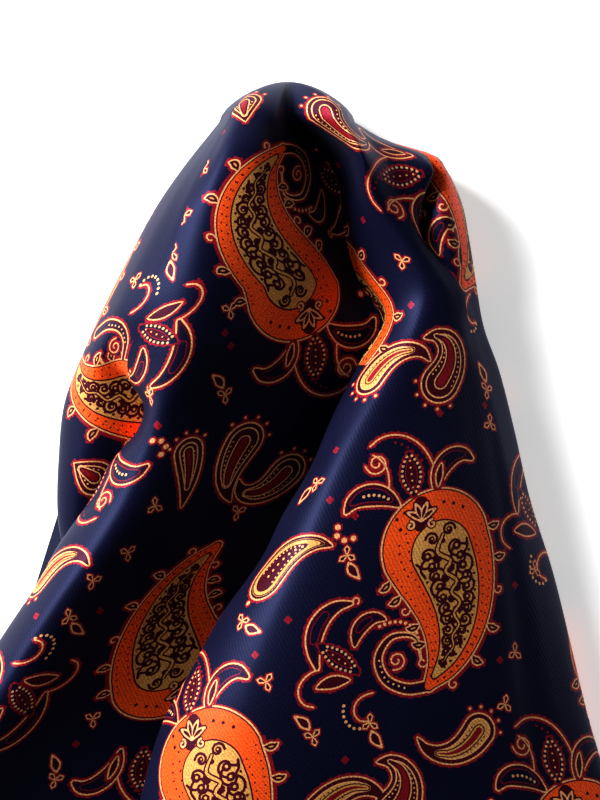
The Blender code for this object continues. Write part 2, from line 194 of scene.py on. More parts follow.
def swept(rows, grow=0.0, step=POINT_STEP):
    """Outline what a circle covers on its way along rows of x, y and radius."""
    path = curve(rows, step)
    radius = path[:, 2] + grow
    path, radius = path[radius > LEAST_RADIUS, :2], radius[radius > LEAST_RADIUS]
    if len(path) < 2:
        return None
    way = np.gradient(path, axis=0)
    way /= np.maximum(np.linalg.norm(way, axis=1, keepdims=True), 1e-9)
    side = np.stack([-way[:, 1], way[:, 0]], 1) * radius[:, None]
    first = math.atan2(side[0][1], side[0][0])
    last = math.atan2(side[-1][1], side[-1][0])
    start = arc(path[0], radius[0], first, first + math.pi)
    end = arc(path[-1], radius[-1], last + math.pi, last + 2 * math.pi)
    return np.vstack([path + side, end[::-1], (path - side)[::-1], start[::-1]])


def ruffled(outline):
    """Push every other point of an outline outwards, so that its edge is bumpy."""
    if outline is None:
        return None
    way = np.roll(outline, -1, 0) - np.roll(outline, 1, 0)
    way /= np.maximum(np.linalg.norm(way, axis=1, keepdims=True), 1e-9)
    following = np.roll(outline, -1, 0)
    area = np.sum(outline[:, 0] * following[:, 1] - following[:, 0] * outline[:, 1])
    out = np.stack([way[:, 1], -way[:, 0]], 1) * RUFFLE * np.sign(area)
    out[::2] = 0
    return outline + out


def disc(x, y, radius, corners=6):
    """Give a small round dot."""
    angles = 2 * math.pi * (np.arange(corners) + 0.5) / corners
    return np.stack([x + radius * np.cos(angles), y + radius * np.sin(angles)], 1)


# Steps to each turn of a curl, and the least that a curl has
CURL_STEPS = 9
LEAST_CURL_STEPS = 5


def spiral(x, y, outer, inner, start, turns, width):
    """Give rows of a curl that winds inwards round x, y. Negative turns wind clockwise."""
    count = max(LEAST_CURL_STEPS, round(abs(turns) * CURL_STEPS))
    rows = []
    for k in range(count + 1):
        share = k / count
        angle = math.radians(start) + 2 * math.pi * turns * share
        reach = outer + (inner - outer) * share
        rows.append((x + reach * math.cos(angle), y + reach * math.sin(angle), width))
    return rows


def layered(art, rows, *layers):
    """Print a swept form in layers, each with its level, its ink and how far it grows."""
    art += [(level, ink, swept(rows, grow)) for level, ink, grow in layers]


def edged_dot(art, x, y, outer, inner):
    """Draw a cream dot with a red edge."""
    art.append((0, RED, disc(x, y, outer)))
    art.append((1, CREAM, disc(x, y, inner)))


def stroke(art, rows, level=0):
    """Draw a cream line with its red edge. The rows hold x and y."""
    line = [(row[0], row[1], LINE) for row in rows]
    art.append((level, RED, ruffled(swept(line, HALO))))
    art.append((level + 1, CREAM, swept(line)))


# The burgundy band in a form's rim, how wide a form must be for a red line inside it, and the line
BAND = 0.5
LINED_WIDTH = 1.2
INNER_LINE = (0.62, 0.80)


def shape(art, rows, fill, level=0):
    """Draw a filled form with a cream rim, a red edge and a fine red line inside."""
    art.append((level, RED, ruffled(swept(rows, LINE + HALO))))
    layered(art, rows, (level + 1, CREAM, LINE), (level + 2, BURGUNDY, -LINE),
            (level + 3, fill, -LINE - BAND))
    wide = [row for row in rows if row[2] > LINED_WIDTH]
    if fill == NAVY and len(wide) > 1:
        layered(art, wide, (level + 3, RED, -LINE - INNER_LINE[0]),
                (level + 4, NAVY, -LINE - INNER_LINE[1]))


def beads(art, rows, level, radius=0.34, spacing=1.05, ink=CREAM):
    """Set dots along a line of x and y."""
    path = curve([row[:2] for row in rows], 0.3)
    length = np.concatenate([[0], np.cumsum(np.linalg.norm(np.diff(path, axis=0), axis=1))])
    count = max(1, int(length[-1] / spacing))
    marks = (np.arange(count) + 0.5) * length[-1] / count
    for x, y in zip(np.interp(marks, length, path[:, 0]), np.interp(marks, length, path[:, 1])):
        art.append((level, ink, disc(x, y, radius)))


def offset_line(rows, grow, side):
    """Give the line at one side of a swept form, grow beyond its radius."""
    path = curve(rows, 1.0)
    way = np.gradient(path[:, :2], axis=0)
    way /= np.linalg.norm(way, axis=1, keepdims=True)
    out = np.stack([-way[:, 1], way[:, 0]], 1) * side
    reach = path[:, 2] + grow
    return (path[:, :2] + out * reach[:, None])[reach > 0.2]


# The bands of each form, from its edge inwards: level, ink and how far it grows
DROP_BANDS = [(0, RED, 0.95), (2, CREAM, 0.62), (3, BURGUNDY, 0.28), (4, ORANGE, 0.0)]
HEART_BANDS = [(6, BURGUNDY, 0.34), (7, TAN, 0.0)]
PETAL_BANDS = [(9, BURGUNDY, 0.5), (10, CREAM, 0.12), (11, BURGUNDY, -0.24)]
TREFOIL_BANDS = [(0, RED, 0.42), (1, CREAM, 0.06), (2, BURGUNDY, -0.22)]
SPRIG_BANDS = [(0, RED, 0.5), (1, CREAM, 0.14), (2, BURGUNDY, -0.25)]
FULL_DROP_BANDS = [(4, BURGUNDY, -0.75), (5, TAN, -1.0)]

# How a spine gathers its bend towards its end, and how a drop narrows along it
GATHER = 1.5
TIP_SHARE = 0.08
SPINE_STEPS = 6


def spine(x, y, length, heading, bend):
    """Give points of a line that sets out from x, y at a heading and bends more and more."""
    points = [(x, y)]
    step = length / SPINE_STEPS
    for k in range(SPINE_STEPS):
        angle = math.radians(heading + bend * ((k + 0.5) / SPINE_STEPS) ** GATHER)
        x, y = x + step * math.cos(angle), y + step * math.sin(angle)
        points.append((x, y))
    return points


def boteh(x, y, radius, length, heading, bend):
    """Give rows of a drop: a round head at x, y that narrows along a spine to its tip."""
    return [(*point, radius * (1 - (1 - TIP_SHARE) * (k / SPINE_STEPS) ** GATHER))
            for k, point in enumerate(spine(x, y, length, heading, bend))]


def leaf(x, y, width, length, heading, bend):
    """Give rows of a leaf that swells from its base at x, y and narrows again."""
    return [(*point, max(0.3, width * math.sin(math.pi * (k + 0.6) / (SPINE_STEPS + 1.2))))
            for k, point in enumerate(spine(x, y, length, heading, bend))]


# The large drop and its heart: head, radius, length, heading and bend
DROP = boteh(0, 0, 11.4, 31, -66, -72)
HEART = boteh(1.0, -1.4, 6.4, 27.5, -66, -72)
# How the scrolls fill the heart: a step along it, and their place and size in its half width
SCROLL_STEP = 2.9
SCROLL_OUT = 0.50
HEART_TOP = (0.6, 2.2, 3.6)
SCROLL_SIZE = 0.42
SCROLL_LINE = 0.30

# The trim along the drop's edge: every third one is a hook
TRIM_SPACING = 5


def drop_trim(art):
    """Set small leaves and hooks along the drop's edge, in turn."""
    for side in (1, -1):
        near, far = (offset_line(DROP, grow, side)[2::TRIM_SPACING] for grow in (0.7, 1.7))
        for k, ((x, y), (far_x, far_y)) in enumerate(zip(near, far)):
            out = math.degrees(math.atan2(far_y - y, far_x - x))
            if k % 3 == 2:
                stroke(art, spiral(far_x, far_y, 1.1, 0.4, out + 180, 0.8 * side, LINE))
            else:
                shape(art, leaf(x, y, 0.85, 2.6, out - 40 * side, 60 * side), TAN)


def large_drop(art):
    """Draw the large drop: an orange band round a tan heart full of scrolls."""
    layered(art, DROP, *DROP_BANDS)
    for side in (1, -1):
        beads(art, offset_line(DROP, -0.8, side), 5, 0.22, 1.7, BURGUNDY)
        beads(art, offset_line(HEART, 1.1, side), 5, 0.22, 1.7, BURGUNDY)
        art.append((1, RED, swept([(x, y, 0.3) for x, y in offset_line(DROP, 1.1, side)[::2]])))
    beads(art, [(-8.2, 1.6), (-7.8, -2.4), (-5.8, -6.6)], 5, 0.26, 1.5, BURGUNDY)
    beads(art, [(-7.0, 4.0), (-6.2, 0.0), (-5.6, -3.6)], 5, 0.26, 1.6, BURGUNDY)
    layered(art, HEART, *HEART_BANDS)
    heart_scrolls(art)
    for side in (1, -1):
        beads(art, offset_line(HEART, -0.75, side), 8, 0.34, 1.7, BURGUNDY)
    drop_trim(art)
    head_flower(art)


def heart_scrolls(art):
    """Fill the heart with pairs of curls on a waving stem."""
    path = np.vstack([[HEART_TOP], curve(HEART, SCROLL_STEP)[:-1]])
    stem = []
    for k, (x, y, radius) in enumerate(path):
        swing = 0.16 * radius * (-1) ** k
        stem.append((x + swing, y, 0.34 + 0.05 * radius))
        if radius < 1.6:
            continue
        for side in (1, -1):
            centre = x + side * SCROLL_OUT * radius, y + 0.9 * side
            rows = spiral(*centre, SCROLL_SIZE * radius, 0.3, 90 - 90 * side + 30 * k,
                          1.35 * side * (-1) ** k, SCROLL_LINE)
            art.append((8, BURGUNDY, swept(rows, 0, 0.6)))
            art.append((8, BURGUNDY, disc(*centre, 0.16 * radius, 7)))
            art.append((9, TAN, disc(centre[0], centre[1] + 0.1, 0.06 * radius, 5)))
        art.append((8, BURGUNDY, disc(x + swing, y - 1.4, 0.17 * radius, 7)))
    art.append((8, BURGUNDY, swept(stem)))
    art.append((9, TAN, swept([(x, y, width - 0.36) for x, y, width in stem])))


def head_flower(art):
    """Draw the flower that sits on the drop's head, where its stems leave."""
    x, y = -3.6, 7.0
    art.append((9, BURGUNDY, swept([(x - 0.4, y - 2.6, 1.2), (x, y, 2.6), (x - 0.2, y + 2.0, 1.6)])))
    for turn in (25, 70, 115, 160):
        angle = math.radians(turn)
        rows = [(x, y - 1.6, 0.2), (x + 1.6 * math.cos(angle), y - 0.8 + 1.5 * math.sin(angle), 0.62),
                (x + 3.2 * math.cos(angle), y - 0.6 + 2.9 * math.sin(angle), 0.18)]
        layered(art, rows, *PETAL_BANDS)
    for side in (1, -1):
        rows = spiral(x + 2.3 * side, y - 2.4, 0.95, 0.3, 90, 1.0 * side, 0.22)
        art.append((9, BURGUNDY, swept(rows, 0.3)))
        art.append((10, CREAM, swept(rows, 0, 0.5)))
    for dot_x, dot_y in ((-8.0, 4.0), (-8.8, 6.2), (1.2, 8.9), (3.4, 8.4), (5.6, 7.4), (-7.2, 7.4)):
        art.append((9, BURGUNDY, disc(dot_x, dot_y, 0.42)))


def head_spray(art):
    """Draw a fan of leaves on the head: a curl over a beaded leaf, and a leaf bent to each side."""
    stroke(art, spine(-1.4, 17.0, 17, 115, 115))
    stroke(art, spiral(-13.2, 18.2, 2.4, 0.5, 190, 1.5, LINE))
    stroke(art, spine(-10.6, 12.8, 8.5, 88, 70))
    beads(art, spine(-3.4, 17.6, 8.5, 128, 40), 1, 0.3, 1.4, RED)
    beaded_leaf(art, leaf(-5.4, 11.2, 2.3, 8.5, 98, 0), 3)
    shape(art, leaf(-0.5, 11.0, 2.1, 13.5, 92, -140), NAVY)
    shape(art, leaf(-0.2, 12.4, 0.8, 4.5, 86, -10), BURGUNDY, 5)
    bent = leaf(-8.6, 9.2, 2.3, 12.5, 140, 110)
    shape(art, bent, NAVY)
    beads(art, bent[1:5], 6, 0.34, 1.0)
    for x, y in spine(-17.6, 3.2, 5.5, 200, -150)[::2]:
        edged_dot(art, x, y, 1.05, 0.62)


def beaded_leaf(art, rows, level):
    """Draw a leaf whose rim is a row of beads, with a red line inside it."""
    art.append((level, RED, ruffled(swept(rows, 0.3))))
    art.append((level + 1, NAVY, swept(rows, 0.0)))
    for side in (1, -1):
        beads(art, offset_line(rows, -0.36, side), level + 2, 0.32, 0.95)
    layered(art, rows, (level + 2, RED, -0.95), (level + 3, BURGUNDY, -1.15))
    path = curve([row[:2] for row in rows], 1.6)
    for x, y in path[1:-1]:
        art.append((level + 4, CREAM, disc(x, y, 0.22, 5)))


def tail_spray(art):
    """Draw the tail's curl with its arc of beads, and a fan of leaves beyond it."""
    tail = boteh(-2.0, -28.8, 1.2, 29, 188, -300)
    shape(art, tail, NAVY)
    beads(art, tail[1:4], 6, 0.24, 1.1)
    stroke(art, spiral(-8.8, -22.8, 2.0, 0.4, 250, 1.4, LINE), 3)
    arc_of_beads = spine(-12.6, -15.6, 11, 20, -110)
    art.append((0, RED, ruffled(swept([(x, y, 0.55) for x, y in arc_of_beads]))))
    beads(art, arc_of_beads, 1, 0.38)
    shape(art, leaf(-24.8, -22.6, 1.8, 17, 104, -110), NAVY)
    stroke(art, spiral(-17.0, -9.6, 0.9, 0.4, -60, 0.7, LINE))
    beaded_leaf(art, leaf(-16.8, -24.2, 1.9, 9.5, 140, 0), 3)
    shape(art, leaf(-17.2, -18.8, 1.6, 9.5, 84, -120), NAVY)
    shape(art, leaf(-18.6, -25.6, 1.3, 6.5, 178, 25), BURGUNDY, 3)
    stroke(art, spine(-24.8, -22.8, 11, 200, 160))
    stroke(art, spine(-13.8, -28.8, 10, 185, 190))
    beads(art, spine(-19.8, -30.2, 10, 255, 170), 1, 0.36, 1.1)


# Small drops: the head's x and y, radius, length, heading, bend and the ink of the middle
SMALL_DROPS = {
    "slim": (-1.4, -3.4, 3.4, 16, 66, -120, TAN),
    "round": (0, 0, 4.4, 14.5, 58, 150, BURGUNDY),
    "upright": (0.2, 3.6, 3.0, 13, -88, -20, BURGUNDY),
    "comma": (0, 0, 4.2, 14, -125, 60, BURGUNDY),
    "curled": (0, 0, 4.0, 13.5, -140, -140, BURGUNDY),
    "bud": (0, 0, 3.6, 5.5, 80, 0, BURGUNDY)}
FULL_DROP = boteh(-1.2, -2.2, 4.4, 15.5, 62, -85)
# A small drop's core, as a share of its width and from which width on, and its frill of dots
CORE_SHARE = 0.34
CORE_FROM = 1.3
FRILL_DOTS = 5
FRILL_TURN = 30
FRILL_GAP = 1.3
FRILL_DOT = (0.75, 0.34)


def small_drop(art, x, y, radius, length, heading, bend, core_ink):
    """Draw a small drop with a broad dark band, a second drop inside it and a frill of dots."""
    rows = boteh(x, y, radius, length, heading, bend)
    mark = CREAM if core_ink == BURGUNDY else BURGUNDY
    art.append((0, RED, ruffled(swept(rows, LINE + HALO))))
    layered(art, rows, (1, CREAM, LINE), (2, BURGUNDY, -LINE))
    inner = [row for row in rows if row[2] > CORE_FROM]
    layered(art, inner, (3, CREAM, -0.95), (4, core_ink, -1.25))
    core = [(*point, width * CORE_SHARE) for *point, width in inner]
    layered(art, core, (5, mark, 0.1), (6, core_ink, -0.16), (7, RED, -0.5))
    for side in (1, -1):
        beads(art, offset_line(inner, -1.75, side), 5, 0.2, 0.95, mark)
        beads(art, offset_line(inner, -0.6, side), 3, 0.16, 1.1, RED)
    reach = radius + FRILL_GAP
    for k in range(FRILL_DOTS):
        angle = math.radians(heading + 180 + FRILL_TURN * (k - FRILL_DOTS // 2))
        edged_dot(art, x + reach * math.cos(angle), y + reach * math.sin(angle), *FRILL_DOT)


def full_drop(art):
    """Draw the small drop that is filled with tan."""
    shape(art, FULL_DROP, TAN, 0)
    layered(art, FULL_DROP, *FULL_DROP_BANDS)
    inner = [row for row in FULL_DROP if row[2] > 1.5]
    art.append((6, BURGUNDY, swept(inner, -1.7)))
    for side in (1, -1):
        beads(art, offset_line(inner, -2.1, side), 7, 0.22, 0.9)
    beads(art, [row[:2] for row in inner], 7, 0.3, 1.4)
    edged_dot(art, FULL_DROP[0][0] - 2.6, FULL_DROP[0][1] - 5.0, 1.0, 0.5)


def trefoil(art):
    """Draw the tiny three-petalled flower."""
    for turn in (90, 215, 325):
        angle = math.radians(turn)
        tip = (1.8 * math.cos(angle), 1.8 * math.sin(angle))
        rows = [(tip[0] * 0.2, tip[1] * 0.2, 0.3), (tip[0] * 0.7, tip[1] * 0.7, 0.6), (*tip, 0.15)]
        layered(art, rows, *TREFOIL_BANDS)


def sprig(art):
    """Draw the tiny flower with a drop beside it."""
    trefoil(art)
    rows = [(0.4, -1.8, 0.3), (1.0, -3.2, 1.0), (2.4, -5.0, 0.15)]
    layered(art, rows, *SPRIG_BANDS)


def red_dot(art):
    """Draw the tiny red flower."""
    for x, y in ((0.45, 0), (-0.45, 0), (0, 0.45), (0, -0.45)):
        art.append((0, RED, disc(x, y, 0.42, 5)))


DRAWINGS = {
    "drop": (large_drop,), "head_spray": (head_spray,), "tail_spray": (tail_spray,),
    "whole": (large_drop, head_spray, tail_spray),
    "bowed_whole": (large_drop, head_spray, tail_spray), "full": (full_drop,),
    "trefoil": (trefoil,), "sprig": (sprig,), "dot": (red_dot,)}

# Points of a drawing that a place in the view can be given for
ANCHORS = {
    "own": (0.0, 0.0), "middle": (0.6, -9.4), "belly": (4.0, -19.0), "tail": (-2.4, -29.0),
    "beads": (-6.2, 15.0), "stems": (-16.6, -25.0), "tall_leaf": (-25.0, -17.0),
    "right_rim": (12.6, -6.0), "far_rim": (-13.0, -4.0), "beside": (9.0, 0.0),
    "left_of": (-9.0, 0.0)}

# The fuller curve of a drop on stretched cloth, and half the drop's length
BOW = 4.6
DROP_HALF = 14.5

# How far each drawing reaches from its place
REACH = {
    "drop": 34, "head_spray": 26, "tail_spray": 30, "whole": 46, "bowed_whole": 46, "slim": 18,
    "round": 18, "upright": 18, "comma": 20, "curled": 18, "bud": 12, "full": 20, "trefoil": 7,
    "sprig": 9, "dot": 6}

# Where each drawing shows, from the middle of the view: kind, anchor, x, y, turn clockwise, patch
PLACES = [
    ("whole", "middle", 28.0, -38.0, 0, "panel"),
    ("whole", "middle", -18.0, -82.4, -2, "panel"),
    ("whole", "middle", 58.4, -97.0, 0, "panel"),
    ("bowed_whole", "middle", -2.0, 32.2, 173, "flank"),
    ("drop", "middle", -24.4, -45.8, 195, "deep"),
    ("head_spray", "beads", -31.4, -73.4, 195, "deep"),
    ("tail_spray", "stems", -4.0, -29.0, 195, "deep"),
    ("drop", "belly", -40.6, 0.6, 95, "lobe"),
    ("tail_spray", "stems", -32.0, 15.2, 182, "crown_left"),
    ("head_spray", "beads", -40.8, -16.0, 195, "flank"),
    ("drop", "tail", 35.6, 23.6, -22, "right"),
    ("tail_spray", "stems", 25.0, 24.0, -4, "right"),
    ("head_spray", "beads", 20.4, 44.6, -88, "brow"),
    ("drop", "right_rim", 12.8, 26.6, -34, "brow"),
    ("drop", "right_rim", -44.0, 34.0, -28, "lobe"),
    ("slim", "beside", -52.0, -30.0, 0, "lobe"),
    ("slim", "left_of", 50.0, 8.0, 0, "panel"),
    ("round", "left_of", 58.0, -24.0, 10, "panel"),
    ("drop", "far_rim", 62.0, -52.0, 10, "panel"),
    ("slim", "left_of", 46.0, 30.0, 0, "right"),
    ("tail_spray", "stems", -57.0, -56.4, 212, "flank"),
    ("tail_spray", "tall_leaf", 43.4, -17.0, 0, "panel"),
]

# The small motifs that are held by their own middle, by kind and patch: x, y, turn clockwise
SCATTERED = {
    ("bud", "lobe"): [(-41.0, -15.6, -55)],
    ("slim", "flank"): [(-50.0, -33.6, 27)],
    ("trefoil", "flank"): [(-41.4, -36.2, 200), (-41.4, -63.8, 180), (-34.4, -30.6, 180),
        (-25.0, 47.0, 30), (-29.4, 36.4, 200), (-14.0, 18.0, 170), (-30.0, 0.8, 165),
        (-29.0, -21.2, 0), (-12.4, -22.4, 200)],
    ("sprig", "flank"): [(-46.2, -43.4, -10), (-49.0, -76.0, 200), (-27.0, 29.4, -40),
        (-15.0, 1.0, 176)],
    ("dot", "flank"): [(-52.8, -43.2, 0), (-40.0, -42.2, 0), (-44.8, -68.8, 0), (-28.6, -5.0, 0),
        (-24.0, 38.0, 0), (-17.6, 53.0, 0), (-32.6, 26.2, 0), (-20.2, 23.6, 0), (-13.8, 10.8, 0),
        (-28.4, -5.2, 0), (-21.4, 45.0, 0), (-30.0, 16.6, 0), (-15.0, 13.4, 0), (-3.0, -16.6, 0)],
    ("trefoil", "lobe"): [(-33.0, 24.0, 40), (-38.0, -14.0, 0)],
    ("slim", "panel"): [(16.0, 7.2, 18), (6.6, -79.0, 18), (34.0, -69.0, 190)],
    ("round", "panel"): [(28.2, 3.6, 6), (19.0, -82.0, 6)],
    ("full", "panel"): [(-5.2, -33.8, 22)],
    ("upright", "flank"): [(-22.4, -13.4, 0)],
    ("comma", "flank"): [(-11.2, -8.4, 0)],
    ("curled", "flank"): [(-2.8, -14.4, 0)],
    ("bud", "flank"): [(-11.2, 59.6, 150)],
    ("round", "brow"): [(5.0, 58.0, 130)],
    ("sprig", "panel"): [(-11.6, -44.2, -20), (9.4, -31.0, 0), (2.6, -67.4, 165), (14.0, -64.6, 0),
        (37.4, 2.0, 180), (3.4, -16.6, 60)],
    ("dot", "panel"): [(7.2, -10.0, 0), (-2.4, -44.0, 0), (37.0, -1.0, 0), (28.0, -2.6, 0),
        (11.0, -23.2, 0), (6.0, -20.0, 0), (43.0, -37.0, 0), (40.0, -52.0, 0), (6.0, -58.0, 0),
        (-9.0, -51.0, 0), (9.0, -72.0, 0)],
    ("trefoil", "panel"): [(-6.8, -56.4, 160), (41.0, -60.8, 10), (43.0, -50.4, 0),
        (47.0, -33.8, 0), (38.0, -4.6, 0)],
    ("trefoil", "brow"): [(20.4, 27.8, 180)],
    ("dot", "brow"): [(12.6, 36.0, 0), (7.6, 47.0, 0), (22.2, 19.0, 0)],
}

# Patches of the front, each between two fold lines and two heights y
PATCHES = {
    "lobe": ("left_edge", "ridge_nose", -60, 48),
    "flank": ("ridge_nose", "valley", HEM_END, CROWN_TIP),
    "deep": ("ridge_nose", "fold_nose", HEM_END, 6),
    "crown_left": ("left_edge", "valley", -6, CROWN_TIP),
    "brow": ("valley", "panel_tuck", 6, CROWN_TIP),
    "right": ("panel_tuck", "right_edge", 12, CROWN_TIP),
    "panel": ("fold_nose", "right_edge", HEM_END, 24),
}


def fold_curves(ys):
    """Read x and z of every fold line at each y, along smooth curves through its stations."""
    found = []
    for rows in FOLD_LINES.values():
        along = np.array([-row[0] for row in rows], float)
        values = np.array([row[1:] for row in rows], float)
        steps = np.diff(along)
        slopes = np.diff(values, axis=0) / steps[:, None]
        tangents = np.vstack([slopes[:1], np.zeros_like(slopes[1:]), slopes[-1:]])
        weight = (steps[1:] / (steps[1:] + steps[:-1]))[:, None]
        tangents[1:-1] = weight * slopes[:-1] + (1 - weight) * slopes[1:]
        k = np.clip(np.searchsorted(along, -ys, side="right") - 1, 0, len(along) - 2)
        h = steps[k][:, None]
        t = np.clip((-ys - along[k])[:, None] / h, 0, 1)
        found.append(cubic(t, values[k], tangents[k], values[k + 1], tangents[k + 1], h))
    return np.stack(found, axis=1)


def across(corners, counts):
    """Run smooth curves across the fold lines, all rows at once, with its own count to a span."""
    knots = np.concatenate([2 * corners[:, :1] - corners[:, 1:2], corners,
                            2 * corners[:, -1:] - corners[:, -2:-1]], axis=1)
    gaps = np.maximum(np.linalg.norm(np.diff(knots, axis=1), axis=2), 1e-6)[..., None] ** 0.5
    points = []
    for k, count in enumerate(counts, start=1):
        p0, p1, p2, p3 = (knots[:, k + step] for step in (-1, 0, 1, 2))
        d0, d1, d2 = (gaps[:, k + step] for step in (-1, 0, 1))
        out = d1 * ((p1 - p0) / d0 - (p2 - p0) / (d0 + d1) + (p2 - p1) / d1)
        back = d1 * ((p2 - p1) / d1 - (p3 - p1) / (d1 + d2) + (p3 - p2) / d2)
        points += [cubic(t, p1, out, p2, back) for t in np.arange(count) / count]
    points.append(knots[:, -2])
    return np.stack(points, axis=1)


def hem_y(x):
    """Give y of the cloth's edge: it bends over softly and slopes down to each side corner."""
    tilt = np.where(x > 0, abs(HEM_TILT_RIGHT), abs(HEM_TILT_LEFT))
    return HEM_END - tilt * (np.hypot(x, HEM_BEND) - HEM_BEND)


def front_grid():
    """Give the front cloth as rows of points from hem to crown, and each fold line's column."""
    body = np.arange(HEM_END, UPPER_START, ROW_STEP)
    upper = np.arange(UPPER_START, CROWN_START, UPPER_ROW_STEP)
    turn = np.linspace(0, CROWN_TURN, CROWN_ROWS)
    crown = CROWN_START + (CROWN_TIP - CROWN_START) * np.sin(turn)
    ys = np.concatenate([body, upper, crown])
    corners = fold_curves(np.minimum(ys, CROWN_START))
    left = np.stack([corners[:, 0, 0] + FOOT_INSET, np.zeros(len(ys))], axis=1)
    right = np.stack([corners[:, -1, 0] - FOOT_INSET, np.zeros(len(ys))], axis=1)
    corners = np.concatenate([left[:, None], corners, right[:, None]], axis=1)
    spans = np.linalg.norm(np.diff(corners, axis=1), axis=2).max(axis=0)
    counts = np.maximum(3, np.ceil(spans / COLUMN_STEP)).astype(int)
    points = across(corners, counts)
    points[..., 1] = np.maximum(points[..., 1], 0.0)
    reach = np.maximum(0.0, (ys - CROWN_START) / (CROWN_TIP - CROWN_START))
    shrink = np.maximum(0.0, 1 - reach ** CROWN_POWER) ** (1 / CROWN_POWER)
    centre = np.array(CROWN_CENTRE)
    points = centre + (points - centre) * shrink[:, None, None]
    share = np.maximum(0.0, (FRAME_END - ys) / (FRAME_END - HEM_END))[:, None]
    x, z = points[..., 0], points[..., 1]
    y = ys[:, None] + share * (hem_y(x) - HEM_END)
    columns = dict(zip(LINES, np.cumsum(counts)))
    return np.stack([x, y, z], axis=2), columns, ys


def grid_normals(grid):
    """Give the outward normal at each point of a grid."""
    normals = np.cross(np.gradient(grid, axis=1), np.gradient(grid, axis=0))
    return normals / np.maximum(np.linalg.norm(normals, axis=2, keepdims=True), 1e-9)


# How a curved stretch relaxes when it is laid flat: rounds, pull on each length, smoothing
FLAT_ROUNDS = 160
FLAT_PULL = 0.11
FLAT_SMOOTHING = 0.012


def laid_flat(grid):
    """Lay a curved grid out flat, with its lengths kept as well as they can be."""
    wide = np.linalg.norm(np.diff(grid, axis=1), axis=2)
    high = np.linalg.norm(np.diff(grid, axis=0), axis=2).mean(axis=1)
    x = np.pad(np.cumsum(wide, axis=1), ((0, 0), (1, 0)))
    x -= x[:, grid.shape[1] // 2, None]
    y = np.broadcast_to(np.pad(np.cumsum(high), (1, 0))[:, None], x.shape)
    flat = np.stack([x, y], axis=2)
    pairs = [(np.s_[:, 1:], np.s_[:, :-1]), (np.s_[1:], np.s_[:-1]),
             (np.s_[1:, 1:], np.s_[:-1, :-1]), (np.s_[1:, :-1], np.s_[:-1, 1:])]
    lengths = [np.linalg.norm(grid[a] - grid[b], axis=2) for a, b in pairs]
    for _ in range(FLAT_ROUNDS):
        move = np.zeros_like(flat)
        for (a, b), length in zip(pairs, lengths):
            gap = flat[a] - flat[b]
            size = np.maximum(np.linalg.norm(gap, axis=2), 1e-9)
            pull = gap * ((length / size - 1) * FLAT_PULL)[..., None]
            move[a] += pull
            move[b] -= pull
        flat = flat + move
        move = np.zeros_like(flat)
        move[1:-1] += flat[2:] + flat[:-2] - 2 * flat[1:-1]
        move[:, 1:-1] += flat[:, 2:] + flat[:, :-2] - 2 * flat[:, 1:-1]
        flat = flat + move * FLAT_SMOOTHING
    return flat


def grid_triangles(rows, columns):
    """List the triangles of a grid of points, two to a cell."""
    i, j = np.meshgrid(np.arange(rows - 1), np.arange(columns - 1), indexing="ij")
    a = (i * columns + j).ravel()
    b, c, d = a + 1, a + columns + 1, a + columns
    return np.concatenate([np.stack([a, b, c], 1), np.stack([a, c, d], 1)])


def shares(points, triangles, found, where):
    """Give each found point's three shares of its triangle's corners."""
    a, b, c = (points[triangles[found, k]] for k in range(3))
    ab, ac, ap = b - a, c - a, where - a
    d00, d01, d11 = (ab * ab).sum(1), (ab * ac).sum(1), (ac * ac).sum(1)
    d20, d21 = (ap * ab).sum(1), (ap * ac).sum(1)
    whole = np.maximum(d00 * d11 - d01 * d01, 1e-12)
    v, w = (d11 * d20 - d01 * d21) / whole, (d00 * d21 - d01 * d20) / whole
    return np.stack([1 - v - w, v, w], axis=1)


class Cloth:
    """A curved grid of cloth, with a plain rectangle as its chart."""

    def __init__(self, grid, flat=None):
        self.grid = grid
        self.flat = laid_flat(grid) if flat is None else flat
        self.normals = grid_normals(grid)
        wide = np.linalg.norm(np.diff(grid, axis=1), axis=2).mean(axis=0)
        high = np.linalg.norm(np.diff(grid, axis=0), axis=2).mean(axis=1)
        self.u = np.pad(np.cumsum(wide), (1, 0))
        self.v = np.pad(np.cumsum(high), (1, 0))
        self.chart = np.stack(np.meshgrid(self.u, self.v), axis=2)
        self.triangles = grid_triangles(*grid.shape[:2])
        self.tree = BVHTree.FromPolygons(grid.reshape(-1, 3).tolist(), self.triangles.tolist())

    def spots(self, chart):
        """Turn chart points into fractional rows and columns."""
        rows = np.interp(chart[:, 1], self.v, np.arange(len(self.v)))
        columns = np.interp(chart[:, 0], self.u, np.arange(len(self.u)))
        return rows, columns

    def seen(self, x, y):
        """Find the fractional row and column of what the camera sees at x, y of the view."""
        eye = Vector((0, 0, CAMERA_HEIGHT))
        way = Vector((x, y, VIEW_LEVEL - CAMERA_HEIGHT)).normalized()
        place, _, index, _ = self.tree.ray_cast(eye, way)
        if place is None:
            place, _, index, _ = self.tree.find_nearest((x, y, VIEW_LEVEL))
        points = self.grid.reshape(-1, 3)
        share = shares(points, self.triangles, [index], np.array([place]))[0]
        corner = self.triangles[index, 0]
        columns = self.grid.shape[1]
        row, column = corner // columns, corner % columns
        if index < len(self.triangles) // 2:
            return row + share[2], column + share[1] + share[2]
        return row + share[1] + share[2], column + share[1]


def blended(values, rows, columns):
    """Read values of a grid at fractional rows and columns."""
    i = np.clip(np.floor(rows).astype(int), 0, values.shape[0] - 2)
    j = np.clip(np.floor(columns).astype(int), 0, values.shape[1] - 2)
    t = np.clip(rows - i, 0, 1)[..., None]
    s = np.clip(columns - j, 0, 1)[..., None]
    return ((1 - t) * ((1 - s) * values[i, j] + s * values[i, j + 1])
            + t * ((1 - s) * values[i + 1, j] + s * values[i + 1, j + 1]))


